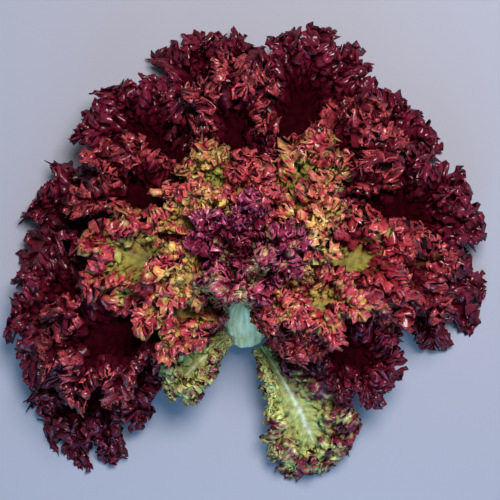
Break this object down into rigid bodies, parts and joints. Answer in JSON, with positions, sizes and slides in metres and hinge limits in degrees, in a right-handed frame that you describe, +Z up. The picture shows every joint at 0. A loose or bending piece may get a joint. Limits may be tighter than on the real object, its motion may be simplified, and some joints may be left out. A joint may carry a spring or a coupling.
{
  "type": "lollo rosso lettuce",
  "caption": "Cut head of red frilly-leaf lettuce, lying tilted on its outer leaves, with ruffled leaves spreading from a short stem.",
  "frame": {"origin": "on the table, below the middle of the head's box", "axes": "+Z up from the table; +Y from the stem towards the far edge of the head, the way the heart leans; +X to the right with +Y away from the viewer, along the head's widest spread"},
  "size_m": [0.27, 0.257, 0.1146],
  "materials": {
    "stem": "moist, pale green to white",
    "leaf_outer": "dark burgundy leaf, satin",
    "leaf_turned": "yellow-green leaf with a pale rib, satin",
    "leaf_middle": "red leaf, satin",
    "leaf_inner": "pink-red to yellow-green leaf, satin",
    "leaf_heart": "magenta leaf, satin"
  },
  "bodies": {
    "root": {"stem": "stem", "leaf_outer_01": "leaf_outer", "leaf_outer_02": "leaf_outer", "leaf_outer_03": "leaf_outer", "leaf_outer_04": "leaf_outer", "leaf_outer_05": "leaf_outer", "leaf_outer_06": "leaf_outer", "leaf_outer_07": "leaf_outer", "leaf_outer_08": "leaf_outer", "leaf_outer_09": "leaf_outer", "leaf_outer_10": "leaf_outer", "leaf_turned_01": "leaf_turned", "leaf_turned_02": "leaf_turned", "leaf_middle_01": "leaf_middle", "leaf_middle_02": "leaf_middle", "leaf_middle_03": "leaf_middle", "leaf_middle_04": "leaf_middle", "leaf_middle_05": "leaf_middle", "leaf_middle_06": "leaf_middle", "leaf_middle_07": "leaf_middle", "leaf_middle_08": "leaf_middle", "leaf_middle_09": "leaf_middle", "leaf_middle_10": "leaf_middle", "leaf_inner_01": "leaf_inner", "leaf_inner_02": "leaf_inner", "leaf_inner_03": "leaf_inner", "leaf_inner_04": "leaf_inner", "leaf_inner_05": "leaf_inner", "leaf_inner_06": "leaf_inner", "leaf_inner_07": "leaf_inner", "leaf_inner_08": "leaf_inner", "leaf_inner_09": "leaf_inner", "leaf_inner_10": "leaf_inner", "leaf_heart_01": "leaf_heart", "leaf_heart_02": "leaf_heart", "leaf_heart_03": "leaf_heart", "leaf_heart_04": "leaf_heart", "leaf_heart_05": "leaf_heart", "leaf_heart_06": "leaf_heart"}
  },
  "joints": []
}
